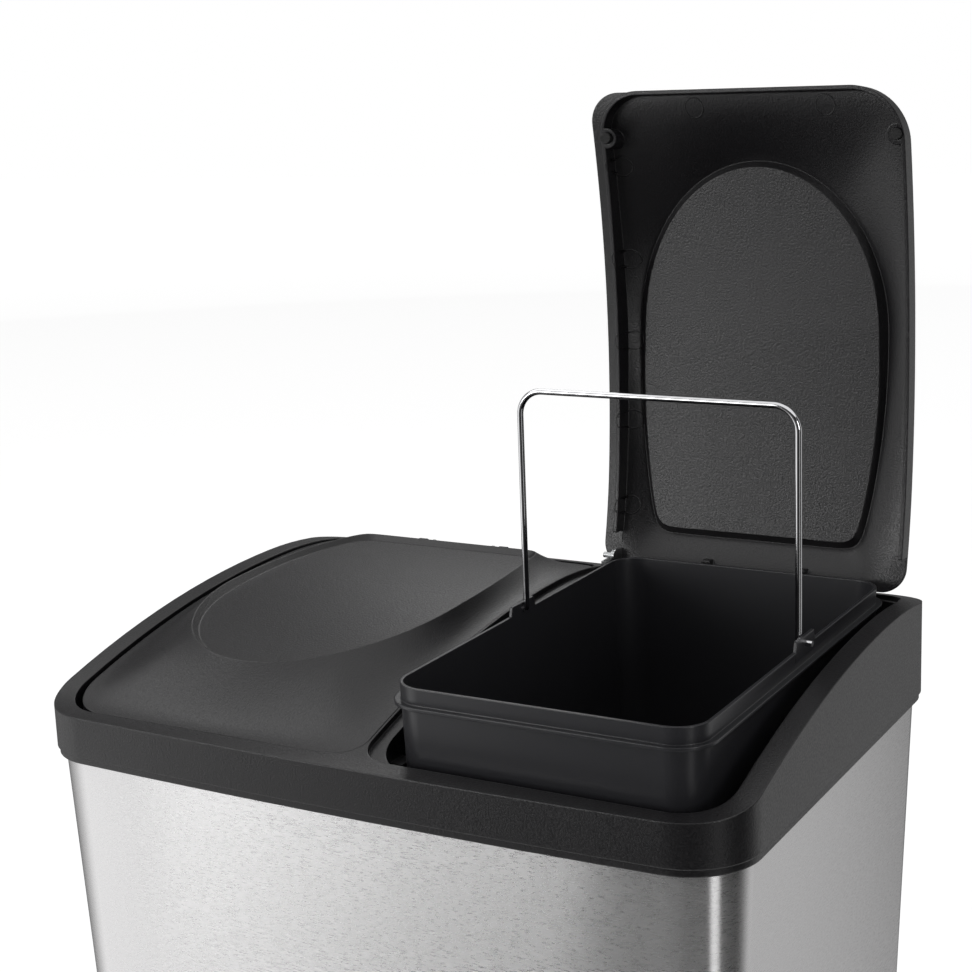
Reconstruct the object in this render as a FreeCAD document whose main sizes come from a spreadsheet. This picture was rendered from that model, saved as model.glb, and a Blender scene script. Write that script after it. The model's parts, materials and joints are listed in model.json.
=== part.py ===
"""Double recycling bin: a stainless shell with a moulded top frame, two lids on rear hinges,
two lift-out buckets with wire bails, and two pedals that open the lids through push rods.

Millimetres. Z is up, the floor is Z = 0, -Y is the front with the pedals, and the origin lies
on the floor under the middle of the bin. The parts stand as photographed: the left lid closed,
the right lid open and the right bucket lifted by its bail.
"""
import FreeCAD, Part
import math
import os
import Sketcher
from FreeCAD import Placement, Rotation, Vector

SIZES = {
    # top frame
    "half_width": 235.0,         # outer half width of the top frame
    "half_depth": 173.7,         # outer half depth, without the front's bow
    "front_bow": 4.0,            # how far the front bows out in the middle
    "front_corner": 42.0,        # outer corner radius at the front
    "rear_corner": 34.0,         # outer corner radius at the rear
    "rim_height": 465.0,         # top edge of the frame at the front
    "skirt_bottom": 435.0,       # lower edge of the frame
    "skirt_wall": 4.0,           # frame wall outside the steel
    "shoulder_height": 455.0,    # step that the steel's top edge meets
    "crest_rise": 39.0,          # how far the sides rise above the front edge
    "crest_back": 88.0,          # the crest's place behind the middle
    "crest_radius": 780.0,       # long arc of the sides in front of the crest
    "rear_fall_radius": 392.0,   # arc of the sides behind the crest
    "lip_inset": 1.3,            # small step along the frame's lower edge
    "lip_height": 4.5,
    # openings of the top frame
    "bar_half": 9.0,             # half width of the bar between the openings
    "opening_side": 221.5,
    "opening_front": 162.0,
    "opening_rear": 163.0,
    "opening_corner": 30.0,
    "bar_recess": 3.5,           # the lids' inner edges lie in this step on the bar
    # steel shell
    "steel_wall": 1.0,
    "steel_bottom": 50.0,
    "steel_draft": 2.4,          # degrees
    # lids
    "lid_inner": 2.0,            # gap from the middle to each lid
    "lid_outer": 218.5,
    "lid_front": 160.8,
    "lid_rear": 162.0,
    "lid_inner_corner": 20.0,
    "lid_outer_corner": 34.0,
    "lid_rear_corner": 16.0,
    "lid_wall": 2.6,
    "lid_skirt": 14.0,           # skirt inside the opening
    "lid_edge": 3.2,             # edge that lies on the bar
    "oval_half_width": 88.0,
    "oval_middle": -5.0,         # widest place of the oval, behind the middle
    "oval_front": 111.5,         # half length of the oval's front part
    "oval_back": 256.0,          # half length of the ellipse that its back follows
    "oval_end": 138.0,           # straight end of the oval at the rear
    "ridge_rise": 46.7,          # ridge's highest level above the frame's front edge
    "ridge_back": 68.0,          # highest place of the ridge, behind the middle
    "ridge_radius": 1090.0,      # lengthwise crown of the ridge
    "panel_recess": 4.0,
    "panel_slope": 5.0,          # width of the sloping wall round the panel
    # hinges
    "axis_back": 163.0,
    "axis_rise": 33.0,
    "hinge_middle": 115.0,
    "slot_half": 31.0,
    "lug_thickness": 6.0,
    "lug_radius": 4.5,
    "pin_radius": 2.2,
    "lid_opening": 95.0,         # degrees
    "bumper_front": 131.0,       # bumpers at the lids' free ends, in front of the middle
    # buckets
    "bucket_inner": 21.2,
    "bucket_outer": 209.0,
    "bucket_front": 156.0,
    "bucket_rear": 149.0,
    "bucket_corner": 20.0,
    "bucket_wall": 2.0,
    "bucket_bottom": 10.5,
    "bucket_rim": 451.5,
    "bucket_draft": 2.0,         # degrees
    "bucket_lift": 58.0,
    "flange_drop": 10.0,
    "flange_reach": 3.5,
    "tab_half": 17.0,
    "tab_rise": 6.0,
    "bail_back": 2.0,            # pivots, behind the middle
    "bail_height": 139.0,
    "bail_half_span": 89.6,
    "wire_radius": 1.9,
    "bail_bend": 15.0,
    "bail_fold": 88.0,           # degrees
    # base
    "base_margin": 2.0,
    "base_bottom": 4.0,
    "base_top": 58.0,
    "base_floor": 10.0,
    "tunnel_half": 24.0,
    "tunnel_top": 62.0,
    "foot_radius": 14.0,
    # pedals and rods
    "pivot_height": 30.0,
    "axle_radius": 3.0,
    "pedal_angle": 9.01,         # degrees, half up and half down from level
    "lever_offset": 10.0,        # levers and rods, from the middle
    "lever_thickness": 4.0,
    "lever_height": 12.0,
    "lever_rear": 150.0,
    "lever_front": 172.0,
    "tread_inner": 4.0,
    "tread_outer": 68.0,
    "tread_front": 194.0,
    "tread_rear": 163.0,
    "tread_thickness": 9.0,
    "rod_radius": 2.5,
    "rod_back": 147.0,
    "rod_foot": 25.0,            # rod's lower end while its lid is closed
    "rod_travel": 23.1,
    "crank_back": 9.0,           # crank pin in front of the hinge axis, lid closed
    "crank_drop": 13.0,          # crank pin below the hinge axis, lid closed
    "crank_pin_radius": 2.0,
}

RIDGE_STEPS = 112                # points round the ridge

doc = FreeCAD.newDocument("double_recycling_bin")
sheet = doc.addObject("Spreadsheet::Sheet", "sizes")
for row, (alias, number) in enumerate(SIZES.items(), start=1):
    sheet.set("A%d" % row, alias)
    sheet.set("B%d" % row, "%g" % number)
    sheet.setAlias("B%d" % row, alias)
doc.recompute()
SIZES = {alias: float(sheet.get(alias)) for alias in SIZES}


class Size:
    """A length that knows both its number and the spreadsheet expression that gives it."""

    def __init__(self, number, text):
        self.number = float(number)
        self.text = text

    def __add__(self, other):
        other = as_size(other)
        return Size(self.number + other.number, "(%s + %s)" % (self.text, other.text))

    def __sub__(self, other):
        other = as_size(other)
        return Size(self.number - other.number, "(%s - %s)" % (self.text, other.text))

    def __mul__(self, factor):
        return Size(self.number * factor, "(%s * %g)" % (self.text, factor))

    def __radd__(self, other):
        return as_size(other) + self

    def __rsub__(self, other):
        return as_size(other) - self

    def __neg__(self):
        return self * -1


def as_size(value):
    """Let plain numbers of millimetres join in with Size arithmetic."""
    return value if isinstance(value, Size) else Size(value, "%g mm" % value)


def cell(alias):
    """The Size of one driving dimension."""
    return Size(SIZES[alias], "(sizes.%s * 1 mm)" % alias)


def origin_plane(body, role):
    """The origin plane of a body that has this role, such as XY_Plane."""
    return next(f for f in body.Origin.OriginFeatures if f.Role == role)


def new_body(label):
    """An empty body whose label is the name of its node."""
    body = doc.addObject("PartDesign::Body", label)
    body.Label = label
    return body


def new_sketch(body, name, role, offset=0):
    """A sketch on one of the body's origin planes, moved along the plane's normal."""
    sketch = body.newObject("Sketcher::SketchObject", name)
    sketch.AttachmentSupport = [(origin_plane(body, role), "")]
    sketch.MapMode = "FlatFace"
    offset = as_size(offset)
    sketch.AttachmentOffset = Placement(Vector(0, 0, offset.number), Rotation())
    sketch.setExpression("AttachmentOffset.Base.z", offset.text)
    return sketch


def dimension(sketch, constraint, size):
    """Add a constraint and bind it to the sheet."""
    index = sketch.addConstraint(constraint)
    sketch.setExpression("Constraints[%d]" % index, size.text)


def place_point(sketch, edge, end, x_size, y_size):
    """Fix one end of a sketch edge by its distances from the origin."""
    if x_size is not None:
        constraint = Sketcher.Constraint("DistanceX", -1, 1, edge, end, x_size.number)
        dimension(sketch, constraint, x_size)
    if y_size is not None:
        constraint = Sketcher.Constraint("DistanceY", -1, 1, edge, end, y_size.number)
        dimension(sketch, constraint, y_size)


def draw_polygon(sketch, corners):
    """A closed outline with straight edges, each corner placed from the origin."""
    corners = [(as_size(x), as_size(y)) for x, y in corners]
    points = [Vector(x.number, y.number, 0) for x, y in corners]
    first = sketch.GeometryCount
    count = len(points)
    for i in range(count):
        sketch.addGeometry(Part.LineSegment(points[i], points[(i + 1) % count]))
    for i in range(count):
        after = first + (i + 1) % count
        sketch.addConstraint(Sketcher.Constraint("Coincident", first + i, 2, after, 1))
        place_point(sketch, first + i, 1, *corners[i])


def draw_circle(sketch, x_size, y_size, radius):
    """A circle placed from the origin."""
    x_size, y_size, radius = as_size(x_size), as_size(y_size), as_size(radius)
    centre = Vector(x_size.number, y_size.number, 0)
    index = sketch.addGeometry(Part.Circle(centre, Vector(0, 0, 1), radius.number))
    place_point(sketch, index, 3, x_size, y_size)
    dimension(sketch, Sketcher.Constraint("Radius", index, radius.number), radius)


def corner_arc(centre_x, centre_y, radius, start_degrees):
    """A quarter circle for the corner of an outline."""
    circle = Part.Circle(Vector(centre_x, centre_y, 0), Vector(0, 0, 1), radius)
    start = math.radians(start_degrees)
    return Part.ArcOfCircle(circle, start, start + math.pi / 2)


def draw_rounded_box(sketch, low_x, high_x, low_y, high_y, radii):
    """A box with a radius for each corner: low-low, high-low, high-high, low-high."""
    low_x, high_x, low_y, high_y = (as_size(v) for v in (low_x, high_x, low_y, high_y))
    radii = [as_size(r) for r in radii]
    x0, x1, y0, y1 = low_x.number, high_x.number, low_y.number, high_y.number
    ll, hl, hh, lh = (r.number for r in radii)
    first = sketch.GeometryCount
    sketch.addGeometry(Part.LineSegment(Vector(x0 + ll, y0, 0), Vector(x1 - hl, y0, 0)))
    sketch.addGeometry(corner_arc(x1 - hl, y0 + hl, hl, -90))
    sketch.addGeometry(Part.LineSegment(Vector(x1, y0 + hl, 0), Vector(x1, y1 - hh, 0)))
    sketch.addGeometry(corner_arc(x1 - hh, y1 - hh, hh, 0))
    sketch.addGeometry(Part.LineSegment(Vector(x1 - hh, y1, 0), Vector(x0 + lh, y1, 0)))
    sketch.addGeometry(corner_arc(x0 + lh, y1 - lh, lh, 90))
    sketch.addGeometry(Part.LineSegment(Vector(x0, y1 - lh, 0), Vector(x0, y0 + ll, 0)))
    sketch.addGeometry(corner_arc(x0 + ll, y0 + ll, ll, 180))
    for i in range(8):
        after = first + (i + 1) % 8
        sketch.addConstraint(Sketcher.Constraint("Tangent", first + i, 2, after, 1))
    for i, kind in ((0, "Horizontal"), (2, "Vertical"), (4, "Horizontal"), (6, "Vertical")):
        sketch.addConstraint(Sketcher.Constraint(kind, first + i))
    place_point(sketch, first, 1, None, low_y)
    place_point(sketch, first + 2, 1, high_x, None)
    place_point(sketch, first + 4, 1, None, high_y)
    place_point(sketch, first + 6, 1, low_x, None)
    for edge, radius in zip((1, 3, 5, 7), (radii[1], radii[2], radii[3], radii[0])):
        dimension(sketch, Sketcher.Constraint("Radius", first + edge, radius.number), radius)


def draw_bowed_box(sketch, inset):
    """The bin's plan outline, set in from the top frame's: a rounded box with a bowed front."""
    inset = as_size(inset)
    half_x = cell("half_width") - inset
    half_y = cell("half_depth") - inset
    front_r = cell("front_corner") - inset
    rear_r = cell("rear_corner") - inset
    bow = cell("front_bow")
    a, b, r, q, s = (v.number for v in (half_x, half_y, front_r, rear_r, bow))
    chord = a - r
    bow_radius = (chord * chord + s * s) / (2 * s)
    bow_centre = -b - s + bow_radius
    corner_y = bow_centre - math.sqrt((bow_radius - r) ** 2 - chord * chord)
    lean = math.atan2(chord, bow_centre - corner_y)
    circle = Part.Circle(Vector(0, bow_centre, 0), Vector(0, 0, 1), bow_radius)
    down = -math.pi / 2
    first = sketch.GeometryCount
    sketch.addGeometry(Part.ArcOfCircle(circle, down - lean, down + lean))
    circle = Part.Circle(Vector(chord, corner_y, 0), Vector(0, 0, 1), r)
    sketch.addGeometry(Part.ArcOfCircle(circle, down + lean, 0))
    sketch.addGeometry(Part.LineSegment(Vector(a, corner_y, 0), Vector(a, b - q, 0)))
    sketch.addGeometry(corner_arc(a - q, b - q, q, 0))
    sketch.addGeometry(Part.LineSegment(Vector(a - q, b, 0), Vector(q - a, b, 0)))
    sketch.addGeometry(corner_arc(q - a, b - q, q, 90))
    sketch.addGeometry(Part.LineSegment(Vector(-a, b - q, 0), Vector(-a, corner_y, 0)))
    circle = Part.Circle(Vector(-chord, corner_y, 0), Vector(0, 0, 1), r)
    sketch.addGeometry(Part.ArcOfCircle(circle, math.pi, 2 * math.pi + down - lean))
    for i in range(8):
        after = first + (i + 1) % 8
        sketch.addConstraint(Sketcher.Constraint("Tangent", first + i, 2, after, 1))
    sketch.addConstraint(Sketcher.Constraint("Horizontal", first + 4))
    sketch.addConstraint(Sketcher.Constraint("PointOnObject", first, 3, -2))
    place_point(sketch, first + 2, 1, half_x, None)
    place_point(sketch, first + 4, 1, None, half_y)
    place_point(sketch, first + 6, 1, -half_x, None)
    chord_size = half_x - front_r
    text = "(%s * %s + %s * %s) / (2 * %s)" % ((chord_size.text,) * 2 + (bow.text,) * 3)
    radius = Size(bow_radius, text)
    dimension(sketch, Sketcher.Constraint("Radius", first, bow_radius), radius)
    for edge, size in ((1, front_r), (7, front_r), (3, rear_r), (5, rear_r)):
        dimension(sketch, Sketcher.Constraint("Radius", first + edge, size.number), size)
    centre = Size(bow_centre, "(%s - %s - %s)" % (radius.text, half_y.text, bow.text))
    place_point(sketch, first, 3, None, centre)


def pad(body, sketch, length, name, reverse=False, both=False, taper=None):
    """Pad a sketch by a bound length."""
    feature = body.newObject("PartDesign::Pad", name)
    feature.Profile = sketch
    length = as_size(length)
    feature.Length = length.number
    feature.setExpression("Length", length.text)
    feature.Reversed = reverse
    if both:
        feature.SideType = "Symmetric"
    if taper is not None:
        feature.setExpression("TaperAngle", taper)
    return feature


def pocket(body, sketch, length, name, reverse=False, both=False, taper=None):
    """Cut a sketch by a bound length, and make sure that it cut something."""
    doc.recompute()
    before = body.Shape.Volume
    feature = body.newObject("PartDesign::Pocket", name)
    feature.Profile = sketch
    length = as_size(length)
    feature.Length = length.number
    feature.setExpression("Length", length.text)
    feature.Reversed = reverse
    if both:
        feature.SideType = "Symmetric"
    if taper is not None:
        feature.setExpression("TaperAngle", taper)
    doc.recompute()
    if body.Shape.Volume > before - 1.0:
        raise RuntimeError("%s of %s cuts nothing" % (name, body.Label))
    return feature


def side_curve(y, drop=0.0):
    """Level of the frame's S-curved top edge above its front edge, at a place y."""
    crest_y, crest_z = SIZES["crest_back"], SIZES["crest_rise"]
    run = y + SIZES["half_depth"]
    join, radius = front_arc()
    if run <= 0:
        return -drop
    if run <= join:
        return radius - math.sqrt(radius ** 2 - run ** 2) - drop
    bend = SIZES["crest_radius"] if y <= crest_y else SIZES["rear_fall_radius"]
    return crest_z - bend + math.sqrt(bend ** 2 - (y - crest_y) ** 2) - drop


def front_arc():
    """Length and radius of the hollow arc where the sides start to rise."""
    reach = SIZES["crest_back"] + SIZES["half_depth"]
    crest, bend = SIZES["crest_rise"], SIZES["crest_radius"]
    radius = (reach ** 2 + (bend - crest) ** 2 - bend ** 2) / (2 * crest)
    return reach * radius / (radius + bend), radius


def draw_side_curve(sketch, base, ceiling, drop=0.0):
    """Profile in Y and Z between the S-curve, lowered by drop, and a level ceiling."""
    base, ceiling, drop = as_size(base), as_size(ceiling), as_size(drop)
    half, crest_y = SIZES["half_depth"], SIZES["crest_back"]
    far = half + 20.0
    level = base.number - drop.number
    join, radius = front_arc()
    bend, fall = SIZES["crest_radius"], SIZES["rear_fall_radius"]
    crest_z = level + SIZES["crest_rise"]
    far_z = crest_z - fall + math.sqrt(fall ** 2 - (far - crest_y) ** 2)
    start = Vector(-far, level, 0)
    toe = Vector(-half, level, 0)
    knee = Vector(join - half, level + side_curve(join - half), 0)
    crest = Vector(crest_y, crest_z, 0)
    end = Vector(far, far_z, 0)
    first = sketch.GeometryCount
    down = -math.pi / 2
    swing = math.asin(join / radius)
    hollow = Part.Circle(Vector(-half, level + radius, 0), Vector(0, 0, 1), radius)
    long_arc = Part.Circle(Vector(crest_y, crest_z - bend, 0), Vector(0, 0, 1), bend)
    rear_arc = Part.Circle(Vector(crest_y, crest_z - fall, 0), Vector(0, 0, 1), fall)
    tail = math.asin((far - crest_y) / fall)
    sketch.addGeometry(Part.LineSegment(start, toe))
    sketch.addGeometry(Part.ArcOfCircle(hollow, down, down + swing))
    sketch.addGeometry(Part.ArcOfCircle(long_arc, -down, -down + swing))
    sketch.addGeometry(Part.ArcOfCircle(rear_arc, -down - tail, -down))
    top = ceiling.number
    sketch.addGeometry(Part.LineSegment(end, Vector(far, top, 0)))
    sketch.addGeometry(Part.LineSegment(Vector(far, top, 0), Vector(-far, top, 0)))
    sketch.addGeometry(Part.LineSegment(Vector(-far, top, 0), start))
    joints = ((0, 2, 1, 1), (1, 2, 2, 2), (2, 1, 3, 2), (3, 1, 4, 1),
              (4, 2, 5, 1), (5, 2, 6, 1), (6, 2, 0, 1))
    for edge, end_a, other, end_b in joints:
        kind = "Tangent" if edge + other in (1, 3, 5) and edge < 3 else "Coincident"
        constraint = Sketcher.Constraint(kind, first + edge, end_a, first + other, end_b)
        sketch.addConstraint(constraint)
    crest_size = base - drop + cell("crest_rise")
    place_point(sketch, first, 1, as_size(-far), base - drop)
    place_point(sketch, first, 2, -cell("half_depth"), base - drop)
    place_point(sketch, first + 2, 1, cell("crest_back"), crest_size)
    place_point(sketch, first + 2, 3, cell("crest_back"), None)
    dimension(sketch, Sketcher.Constraint("Radius", first + 2, bend), cell("crest_radius"))
    dimension(sketch, Sketcher.Constraint("Radius", first + 3, fall), cell("rear_fall_radius"))
    place_point(sketch, first + 4, 1, as_size(far), None)
    sketch.addConstraint(Sketcher.Constraint("Vertical", first + 4))
    sketch.addConstraint(Sketcher.Constraint("Vertical", first + 6))
    sketch.addConstraint(Sketcher.Constraint("Horizontal", first + 5))
    place_point(sketch, first + 5, 1, None, ceiling)


def mirrored(side, low, high):
    """The two x limits of something on one side of the bin, in rising order."""
    return (low, high) if side > 0 else (-high, -low)


def side_name(side):
    """The side of the bin as seen from the front: left is -X."""
    return "right" if side > 0 else "left"


def inner_first(side, inner_front, outer_front, outer_rear, inner_rear):
    """Corner radii in draw_rounded_box's order, on either side of the bin."""
    if side > 0:
        return (inner_front, outer_front, outer_rear, inner_rear)
    return (outer_front, inner_front, inner_rear, outer_rear)


def feature(label, shape, placement=None):
    """A node whose shape is made by formula, from the sheet's sizes."""
    obj = doc.addObject("Part::Feature", label)
    obj.Label = label
    obj.Shape = shape
    obj.Placement = placement or Placement()
    return obj


def box(x0, x1, y0, y1, z0, z1):
    """A plain block between two corners."""
    return Part.makeBox(x1 - x0, y1 - y0, z1 - z0, Vector(x0, y0, z0))


def rod_along_x(x0, x1, y, z, radius):
    """A round bar along X."""
    return Part.makeCylinder(radius, x1 - x0, Vector(x0, y, z), Vector(1, 0, 0))


def flipped(shape, side):
    """The shape itself on the right, and its mirror image on the left."""
    return shape if side > 0 else shape.mirror(Vector(), Vector(1, 0, 0))


def draw_lid_opening(sketch, side, grow):
    """A lid's plan outline, grown all round."""
    low, high = mirrored(side, cell("lid_inner") - grow, cell("lid_outer") + grow)
    inner, outer = cell("lid_inner_corner") + grow, cell("lid_outer_corner") + grow
    rear = cell("lid_rear_corner") + grow
    draw_rounded_box(sketch, low, high, -cell("lid_front") - grow, cell("lid_rear") + grow,
                     inner_first(side, inner, outer, rear, rear))


def make_top_frame():
    """The moulded frame: bowed outline, S-curved sides, two openings with a bar between."""
    body = new_body("collar_frame")
    bottom, base = cell("skirt_bottom"), cell("rim_height")
    height = base - bottom + 45.0
    block = new_sketch(body, "frame_low_outline", "XY_Plane", bottom)
    draw_bowed_box(block, 0)
    pad(body, block, height, "frame_low_block")
    low_curve = new_sketch(body, "frame_low_curve", "YZ_Plane")
    draw_side_curve(low_curve, base, base + 80.0, cell("bar_recess"))
    pocket(body, low_curve, 520.0, "frame_low_cut", both=True)
    ring = new_sketch(body, "frame_ring_outline", "XY_Plane", bottom)
    draw_bowed_box(ring, 0)
    for side in (-1, 1):
        draw_lid_opening(ring, side, 1.2)
    pad(body, ring, height, "frame_ring")
    curve = new_sketch(body, "frame_side_curve", "YZ_Plane")
    draw_side_curve(curve, base, base + 80.0)
    pocket(body, curve, 520.0, "frame_side_cut", both=True)
    hollow = new_sketch(body, "frame_skirt", "XY_Plane", bottom)
    draw_bowed_box(hollow, cell("skirt_wall"))
    pocket(body, hollow, cell("shoulder_height") - bottom, "frame_skirt_hollow", reverse=True)
    for side in (-1, 1):
        name = side_name(side)
        low, high = mirrored(side, cell("bar_half"), cell("opening_side"))
        hole = new_sketch(body, name + "_opening", "XY_Plane", bottom)
        draw_rounded_box(hole, low, high, -cell("opening_front"), cell("opening_rear"),
                         (cell("opening_corner"),) * 4)
        pocket(body, hole, 100.0, name + "_opening_cut", reverse=True)
        add_bumper_shelves(body, side)
        cut_hinge_notch(body, side)
        cut_rod_notch(body, side)
    lip = new_sketch(body, "frame_lip", "XY_Plane", bottom)
    draw_bowed_box(lip, cell("lip_inset"))
    draw_bowed_box(lip, -1.0)
    pocket(body, lip, cell("lip_height"), "frame_lip_step", reverse=True)
    return body


def add_bumper_shelves(body, side):
    """Two small shelves under the bumpers at a lid's free end."""
    name = side_name(side) + "_shelves"
    top = cell("rim_height") + side_curve(-SIZES["bumper_front"]) - 17.3
    shelf = new_sketch(body, name, "XY_Plane", top - 12.0)
    front = -cell("bumper_front")
    for low, high in ((cell("bar_half") - 1.0, as_size(17.4)),
                      (as_size(213.2), cell("opening_side") + 1.0)):
        low, high = mirrored(side, low, high)
        draw_polygon(shelf, [(low, front - 7.0), (high, front - 7.0),
                             (high, front + 7.0), (low, front + 7.0)])
    pad(body, shelf, 12.0, name + "_pad")


def cut_hinge_notch(body, side):
    """A notch in the rear band for the hinge, and two holes for the bracket's screws."""
    name = side_name(side) + "_hinge"
    middle, half = cell("hinge_middle"), cell("slot_half") + cell("lug_thickness") + 1.0
    low, high = mirrored(side, middle - half, middle + half)
    axis = cell("rim_height") + cell("axis_rise")
    notch = new_sketch(body, name + "_notch", "XY_Plane", axis - 12.5)
    draw_polygon(notch, [(low, 160.0), (high, 160.0), (high, 170.5), (low, 170.5)])
    pocket(body, notch, 40.0, name + "_notch_cut", reverse=True)
    holes = new_sketch(body, name + "_screw_holes", "XZ_Plane", -171.0)
    for shift in (-14.0, 14.0):
        draw_circle(holes, middle * side + shift, axis - 28.0, 2.02)
    pocket(body, holes, 12.0, name + "_screw_cut", reverse=True)


def cut_rod_notch(body, side):
    """Room beside the bar for the push rod and the lid's crank."""
    name = side_name(side) + "_rod_notch"
    low, high = mirrored(side, as_size(6.3), as_size(17.0))
    notch = new_sketch(body, name, "XY_Plane", cell("skirt_bottom"))
    draw_polygon(notch, [(low, 142.5), (high, 142.5), (high, 160.5), (low, 160.5)])
    pocket(body, notch, 100.0, name + "_cut", reverse=True)


def rounded_face(low_x, high_x, low_y, high_y, radii):
    """A rounded box as a face at Z = 0, its radii in draw_rounded_box's order."""
    ll, hl, hh, lh = radii
    arcs = [corner_arc(low_x + ll, low_y + ll, ll, 180),
            corner_arc(high_x - hl, low_y + hl, hl, 270),
            corner_arc(high_x - hh, high_y - hh, hh, 0),
            corner_arc(low_x + lh, high_y - lh, lh, 90)]
    edges = []
    for i, arc in enumerate(arcs):
        edges.append(arc.toShape())
        after = arcs[(i + 1) % 4]
        edges.append(Part.LineSegment(arc.EndPoint, after.StartPoint).toShape())
    return Part.Face(Part.Wire(edges))


def lid_outline(shrink=0.0):
    """Plan outline of the right lid as a face at Z = 0."""
    names = ("lid_inner_corner", "lid_outer_corner", "lid_rear_corner", "lid_rear_corner")
    radii = [SIZES[name] - shrink for name in names]
    return rounded_face(SIZES["lid_inner"] + shrink, SIZES["lid_outer"] - shrink,
                        shrink - SIZES["lid_front"], SIZES["lid_rear"] - shrink, radii)


def skirt_outline(shrink, rear):
    """Plan outline of the right lid's skirt, which hangs inside the opening."""
    low_x = SIZES["bar_half"] + 3.5 + shrink
    corner = SIZES["opening_corner"] - 2.0 - shrink
    radii = (corner, SIZES["lid_outer_corner"] - shrink, SIZES["lid_rear_corner"] - shrink,
             SIZES["lid_rear_corner"] - shrink)
    return rounded_face(low_x, SIZES["lid_outer"] - shrink, shrink - SIZES["lid_front"],
                        rear - shrink, radii)


def oval_reach(angle):
    """Distance of the egg-shaped ridge from its middle, in the direction of an angle."""
    across, along = math.cos(angle), math.sin(angle)
    length = SIZES["oval_back"] if along > 0 else SIZES["oval_front"]
    egg = math.hypot(across / SIZES["oval_half_width"], along / length)
    end = max(0.0, along) / (SIZES["oval_end"] - SIZES["oval_middle"])
    return (egg ** 28 + end ** 28) ** (-1 / 28)


def edge_reach(angle):
    """Distance of the lid's edge from the ridge's middle, in the direction of an angle."""
    across, along = math.cos(angle), math.sin(angle)
    half = (SIZES["lid_outer"] - SIZES["lid_inner"]) / 2
    middle = SIZES["oval_middle"]
    length = SIZES["lid_rear"] - middle if along > 0 else SIZES["lid_front"] + middle
    return (abs(across / half) ** 10 + abs(along / length) ** 10) ** (-1 / 10)


def ridge_level(y):
    """Level of the ridge above the frame's front edge: a lengthwise crown."""
    radius = SIZES["ridge_radius"]
    return SIZES["ridge_rise"] - radius + math.sqrt(radius ** 2 - (y - SIZES["ridge_back"]) ** 2)


def ridge_angles():
    """Directions that step evenly along the ridge, once round from the rear."""
    fine = [math.pi * (0.5 + 2 * i / 2880) for i in range(2881)]
    steps = []
    for low, high in zip(fine, fine[1:]):
        a, b = oval_reach(low), oval_reach(high)
        steps.append(math.hypot(b - a, (a + b) / 2 * (high - low)))
    total, run, angles = sum(steps), 0.0, [fine[0]]
    for high, step in zip(fine[1:], steps):
        run += step
        if run >= total * len(angles) / RIDGE_STEPS - 1e-9:
            angles.append(high)
    return angles


def lid_point(angle, reach, level):
    """A point of the right lid from its direction and distance, seen from the ridge's middle."""
    x = (SIZES["lid_inner"] + SIZES["lid_outer"]) / 2 + reach * math.cos(angle)
    y = SIZES["oval_middle"] + reach * math.sin(angle)
    return Vector(x, y, SIZES["rim_height"] + level(y))


def flare_level(x, y):
    """Level of the hollow flare between the lid's edge and the ridge, rising on inside it."""
    middle_x = (SIZES["lid_inner"] + SIZES["lid_outer"]) / 2
    across, along = x - middle_x, y - SIZES["oval_middle"]
    angle = math.atan2(along, across)
    edge, ridge = edge_reach(angle), oval_reach(angle)
    share = (edge - math.hypot(across, along)) / (edge - ridge)
    if share > 1:
        share = 1 + 0.5 * math.tanh((share - 1) / 0.5)
    base = side_curve(y, 1.0)
    return base + (ridge_level(y) - base) * math.copysign(abs(share) ** 1.9, share)


def flare_surface():
    """The flare as one smooth surface, a little past the lid's outline."""
    columns, rows = 37, 53
    x0, x1 = SIZES["lid_inner"] - 3.0, SIZES["lid_outer"] + 3.0
    y0, y1 = -SIZES["lid_front"] - 3.0, SIZES["lid_rear"] + 3.0
    grid = []
    for i in range(columns):
        x = x0 + (x1 - x0) * i / (columns - 1)
        line = []
        for j in range(rows):
            y = y0 + (y1 - y0) * j / (rows - 1)
            line.append(Vector(x, y, SIZES["rim_height"] + flare_level(x, y)))
        grid.append(line)
    surface = Part.BSplineSurface()
    surface.interpolate(grid)
    return surface.toShape()


def wall_ring(level):
    """Closed curve at one level on the sloping wall that runs from the ridge to the panel."""
    lean = SIZES["panel_slope"] / SIZES["panel_recess"]
    points = []
    for angle in ridge_angles():
        reach = oval_reach(angle)
        y = SIZES["oval_middle"] + reach * math.sin(angle)
        inset = (ridge_level(y) - level) * lean
        points.append(lid_point(angle, reach - inset, lambda y: level))
    curve = Part.BSplineCurve()
    curve.interpolate(points[:-1], PeriodicFlag=True)
    return Part.Wire(curve.toShape())


def above_panel():
    """Everything above the sunk panel, which follows the ridge's crown."""
    radius, back = SIZES["ridge_radius"], SIZES["ridge_back"]
    base = SIZES["rim_height"] - SIZES["panel_recess"]
    low, middle, high = (Vector(-10, y, base + ridge_level(y)) for y in (-200, back, 200))
    far_up, near_up = Vector(-10, 200, base + 200), Vector(-10, -200, base + 200)
    edges = [Part.Arc(low, middle, high).toShape()]
    for a, b in ((high, far_up), (far_up, near_up), (near_up, low)):
        edges.append(Part.LineSegment(a, b).toShape())
    return Part.Face(Part.Wire(edges)).extrude(Vector(250, 0, 0))


def lid_form():
    """Everything below the lid's top surface: flare, ridge and sunk panel."""
    low, high = SIZES["ridge_rise"] - 32, SIZES["ridge_rise"] + 12
    inside = Part.makeLoft([wall_ring(low), wall_ring(high)], True, True)
    above = wall_ring(high).copy()
    cap = Part.Face(above).extrude(Vector(0, 0, 60))
    hollow = inside.fuse(cap).common(above_panel())
    return flare_surface().extrude(Vector(0, 0, -180)).cut(hollow)


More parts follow.
